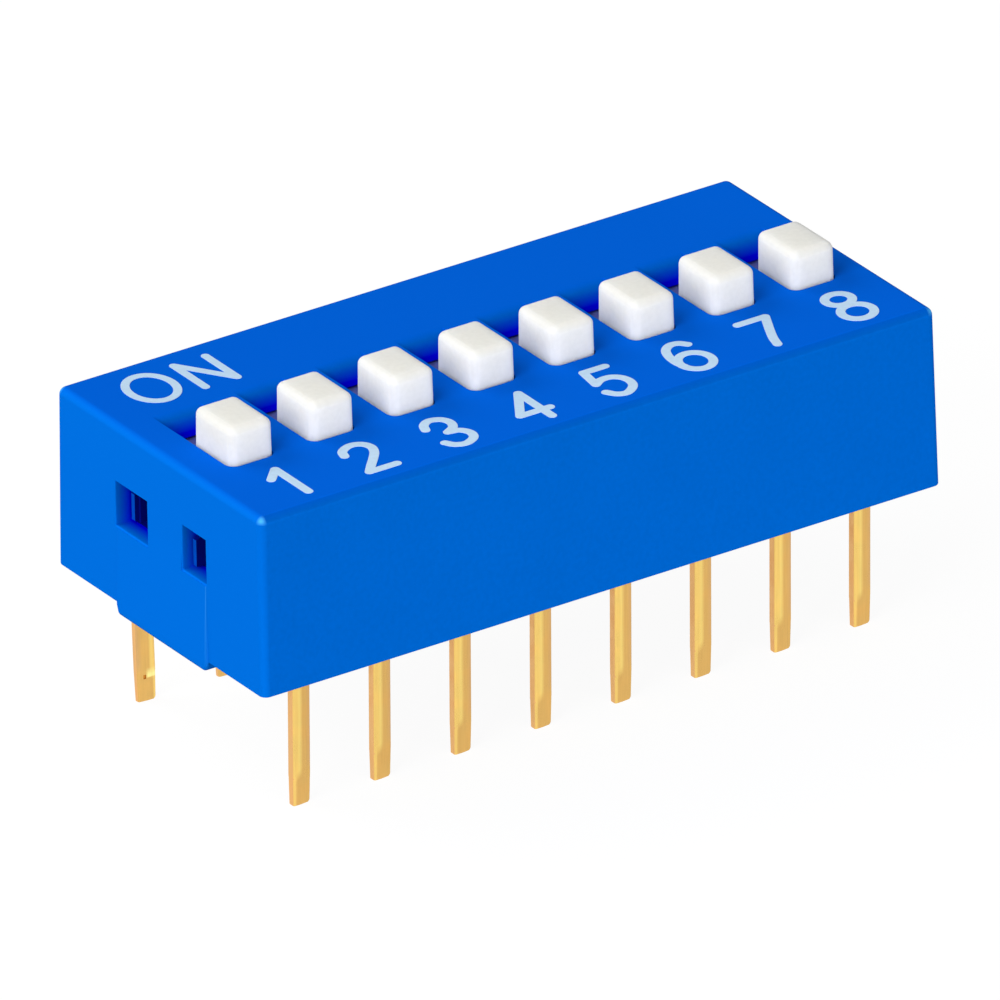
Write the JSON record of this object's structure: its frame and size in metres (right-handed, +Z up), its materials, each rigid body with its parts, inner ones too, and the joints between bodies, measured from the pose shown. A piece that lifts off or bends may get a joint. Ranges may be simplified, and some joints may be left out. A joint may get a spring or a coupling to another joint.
{
  "type": "dip switch",
  "caption": "Through-hole slide switch block in a moulded housing, with a row of raised sliders over two rows of flat pins.",
  "frame": {"origin": "centre of the pin field on the seating plane, where the rail under the base meets the board", "axes": "+X along the switch from position 1 to position 8, +Y from the numbered side to the ON side, +Z up from the board"},
  "size_m": [0.0216, 0.0098, 0.0103],
  "materials": {
    "cover_plastic": "satin blue moulded thermoplastic with a fine spark-eroded texture",
    "base_plastic": "dark blue glass-filled moulding, matt",
    "slider_plastic": "satin warm white moulded thermoplastic",
    "contact_spring": "gold plated spring strip, bright",
    "terminal_gold": "thin gold plating over stamped brass, satin with bright edges",
    "legend_ink": "pale printed ink, flat"
  },
  "bodies": {
    "housing": {"cover": "cover_plastic", "base": "base_plastic", "terminal_1": "terminal_gold", "terminal_2": "terminal_gold", "terminal_3": "terminal_gold", "terminal_4": "terminal_gold", "terminal_5": "terminal_gold", "terminal_6": "terminal_gold", "terminal_7": "terminal_gold", "terminal_8": "terminal_gold", "terminal_9": "terminal_gold", "terminal_10": "terminal_gold", "terminal_11": "terminal_gold", "terminal_12": "terminal_gold", "terminal_13": "terminal_gold", "terminal_14": "terminal_gold", "terminal_15": "terminal_gold", "terminal_16": "terminal_gold"},
    "slider_1": {"actuator_1": "slider_plastic", "moving_contact_1": "contact_spring"},
    "slider_2": {"actuator_2": "slider_plastic", "moving_contact_2": "contact_spring"},
    "slider_3": {"actuator_3": "slider_plastic", "moving_contact_3": "contact_spring"},
    "slider_4": {"actuator_4": "slider_plastic", "moving_contact_4": "contact_spring"},
    "slider_5": {"actuator_5": "slider_plastic", "moving_contact_5": "contact_spring"},
    "slider_6": {"actuator_6": "slider_plastic", "moving_contact_6": "contact_spring"},
    "slider_7": {"actuator_7": "slider_plastic", "moving_contact_7": "contact_spring"},
    "slider_8": {"actuator_8": "slider_plastic", "moving_contact_8": "contact_spring"}
  },
  "joints": [
    {"name": "slide_1", "type": "slide", "parent": "housing", "child": "slider_1", "axis": [0, 1, 0], "range_m": [0, 0.0011]},
    {"name": "slide_2", "type": "slide", "parent": "housing", "child": "slider_2", "axis": [0, 1, 0], "range_m": [0, 0.0011]},
    {"name": "slide_3", "type": "slide", "parent": "housing", "child": "slider_3", "axis": [0, 1, 0], "range_m": [0, 0.0011]},
    {"name": "slide_4", "type": "slide", "parent": "housing", "child": "slider_4", "axis": [0, 1, 0], "range_m": [0, 0.0011]},
    {"name": "slide_5", "type": "slide", "parent": "housing", "child": "slider_5", "axis": [0, 1, 0], "range_m": [0, 0.0011]},
    {"name": "slide_6", "type": "slide", "parent": "housing", "child": "slider_6", "axis": [0, 1, 0], "range_m": [0, 0.0011]},
    {"name": "slide_7", "type": "slide", "parent": "housing", "child": "slider_7", "axis": [0, 1, 0], "range_m": [0, 0.0011]},
    {"name": "slide_8", "type": "slide", "parent": "housing", "child": "slider_8", "axis": [0, 1, 0], "range_m": [0, 0.0011]}
  ]
}
